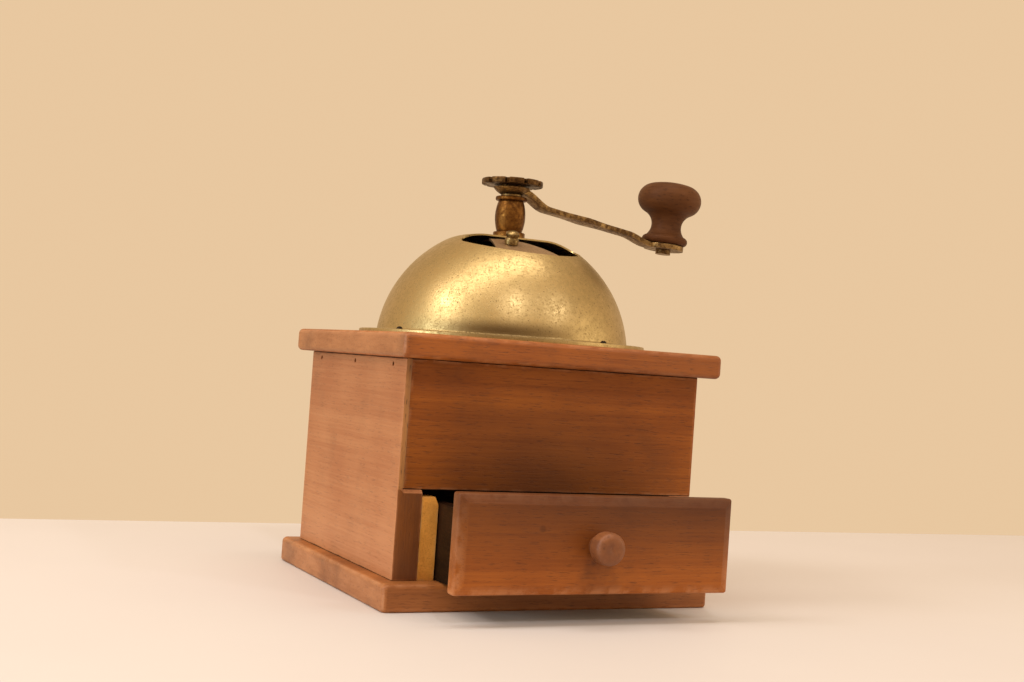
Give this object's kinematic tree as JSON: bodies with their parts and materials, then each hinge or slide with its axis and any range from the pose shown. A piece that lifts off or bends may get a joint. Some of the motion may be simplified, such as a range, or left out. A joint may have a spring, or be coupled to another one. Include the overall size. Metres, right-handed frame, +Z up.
{
  "type": "manual coffee grinder",
  "caption": "Wooden box coffee mill with a spun brass hopper dome, a turning shutter over its mouth, a crank on top that drives a conical burr, and a drawer for the grounds.",
  "frame": {"origin": "middle of the base board's underside, on the axis of the grinding shaft", "axes": "+Z up along the shaft, -Y to the drawer's front, +X to the right, where the crank points at rest"},
  "size_m": [0.152, 0.1556, 0.1665],
  "materials": {
    "stained_wood": "stained and waxed, worn on its edges",
    "raw_wood": "bare",
    "turned_wood": "dull dark stain",
    "dome_brass": "aged satin",
    "shutter_brass": "dull",
    "dark_brass": "tarnished",
    "tinned_steel": "dull",
    "screw_steel": "darkened",
    "burr_iron": "bare"
  },
  "bodies": {
    "mill_body": {"base_board": "stained_wood", "left_side_panel": "stained_wood", "right_side_panel": "stained_wood", "front_panel": "stained_wood", "back_panel": "stained_wood", "left_drawer_guide": "raw_wood", "right_drawer_guide": "raw_wood", "left_top_cleat": "raw_wood", "right_top_cleat": "raw_wood", "top_board": "stained_wood", "side_nails": "screw_steel", "base_screws": "screw_steel", "hopper_dish": "tinned_steel", "dome": "dome_brass", "flange_screws": "screw_steel", "bearing_pillar": "dark_brass", "spring_washer": "tinned_steel", "pillar_nut": "dark_brass", "thrust_washer": "dark_brass", "burr_housing": "burr_iron", "outer_burr": "burr_iron", "bearing_bridge": "screw_steel", "bridge_bush": "dark_brass", "housing_screws": "screw_steel"},
    "shutter": {"shutter_plate": "shutter_brass", "shutter_knob": "shutter_brass"},
    "crank": {"crank_arm": "dark_brass", "knob_pin": "dark_brass"},
    "adjuster": {"adjusting_wheel": "dark_brass"},
    "spindle": {"grinding_shaft": "screw_steel", "inner_burr": "burr_iron", "burr_pin": "screw_steel"},
    "handle_knob": {"crank_knob": "turned_wood", "knob_plug": "turned_wood"},
    "drawer": {"drawer_front": "stained_wood", "drawer_left_side": "raw_wood", "drawer_right_side": "raw_wood", "drawer_back": "raw_wood", "drawer_bottom": "raw_wood", "drawer_knob": "turned_wood"}
  },
  "joints": [
    {"name": "crank_turn", "type": "hinge", "parent": "mill_body", "child": "crank", "pos_m": [0, 0, 0.1545], "axis": [0, 0, 1], "continuous": true},
    {"name": "crank_knob_spin", "type": "hinge", "parent": "crank", "child": "handle_knob", "pos_m": [0.072, 0, 0.14025], "axis": [0.0698, 0, 0.9976], "continuous": true},
    {"name": "adjuster_turn", "type": "hinge", "parent": "crank", "child": "adjuster", "pos_m": [0, 0, 0.1575], "axis": [0, 0, 1], "range_deg": [-180, 180]},
    {"name": "shaft_lift", "type": "slide", "parent": "crank", "child": "spindle", "axis": [0, 0, 1], "range_m": [-0.0005, 0.0005]},
    {"name": "shutter_turn", "type": "hinge", "parent": "mill_body", "child": "shutter", "pos_m": [0, 0, 0.1349], "axis": [0, 0, 1], "range_deg": [-31, 76]},
    {"name": "drawer_slide", "type": "slide", "parent": "mill_body", "child": "drawer", "axis": [0, -1, 0], "range_m": [-0.0285, 0.04]}
  ],
  "couplings": [
    {"joint": "adjuster_turn", "follows": "shaft_lift", "rad_per_m": -6283}
  ]
}
